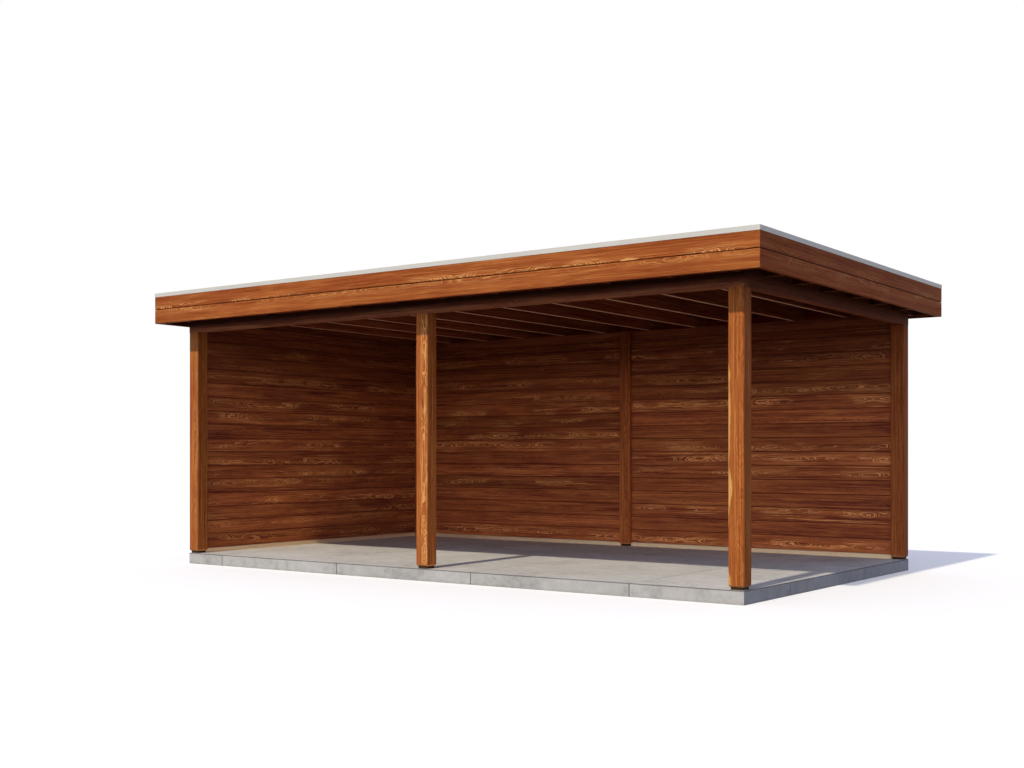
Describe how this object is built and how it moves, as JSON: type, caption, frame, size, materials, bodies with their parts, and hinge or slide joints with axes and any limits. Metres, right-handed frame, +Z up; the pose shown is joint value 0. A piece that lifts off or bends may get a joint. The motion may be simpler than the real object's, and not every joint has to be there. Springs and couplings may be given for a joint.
{
  "type": "veranda",
  "caption": "Flat-roofed timber veranda, open at the front and one end, with boarded walls at the back and the other end, on a slab plinth.",
  "frame": {"origin": "middle of the plinth's underside, at ground level", "axes": "+X along the open front towards the open end, +Y from the open front to the boarded back, +Z up"},
  "size_m": [6.146, 3.726, 2.528],
  "materials": {
    "slab": "rough cast concrete",
    "frame_wood": "brown stain on planed softwood",
    "wall_wood": "brown stain on planed boards",
    "fascia_wood": "brown stain on planed boards",
    "rail_wood": "pale unstained timber",
    "foot": "matt black",
    "sheet": "matt black sheet",
    "trim": "satin"
  },
  "bodies": {
    "root": {"slabs_front": "slab", "slabs_middle": "slab", "slabs_back": "slab", "post_front_left": "frame_wood", "post_front_middle": "frame_wood", "post_front_right": "frame_wood", "post_back_left": "frame_wood", "post_back_middle": "frame_wood", "post_back_right": "frame_wood", "foot_front_left": "foot", "foot_front_middle": "foot", "foot_front_right": "foot", "foot_back_left": "foot", "foot_back_middle": "foot", "foot_back_right": "foot", "wall_left": "wall_wood", "wall_back_left": "wall_wood", "wall_back_right": "wall_wood", "rail_left": "rail_wood", "rail_back_left": "rail_wood", "rail_back_right": "rail_wood", "beam_front": "frame_wood", "beam_right": "frame_wood", "beam_back": "frame_wood", "beam_left": "frame_wood", "joists": "frame_wood", "lookouts_left": "frame_wood", "lookouts_right": "frame_wood", "roof_boards": "frame_wood", "roof_sheet": "sheet", "fascia_front_lower": "fascia_wood", "fascia_front_upper": "fascia_wood", "fascia_right_lower": "fascia_wood", "fascia_right_upper": "fascia_wood", "fascia_back_lower": "fascia_wood", "fascia_back_upper": "fascia_wood", "fascia_left_lower": "fascia_wood", "fascia_left_upper": "fascia_wood", "trim_front": "trim", "trim_right": "trim", "trim_back": "trim", "trim_left": "trim"}
  },
  "joints": []
}
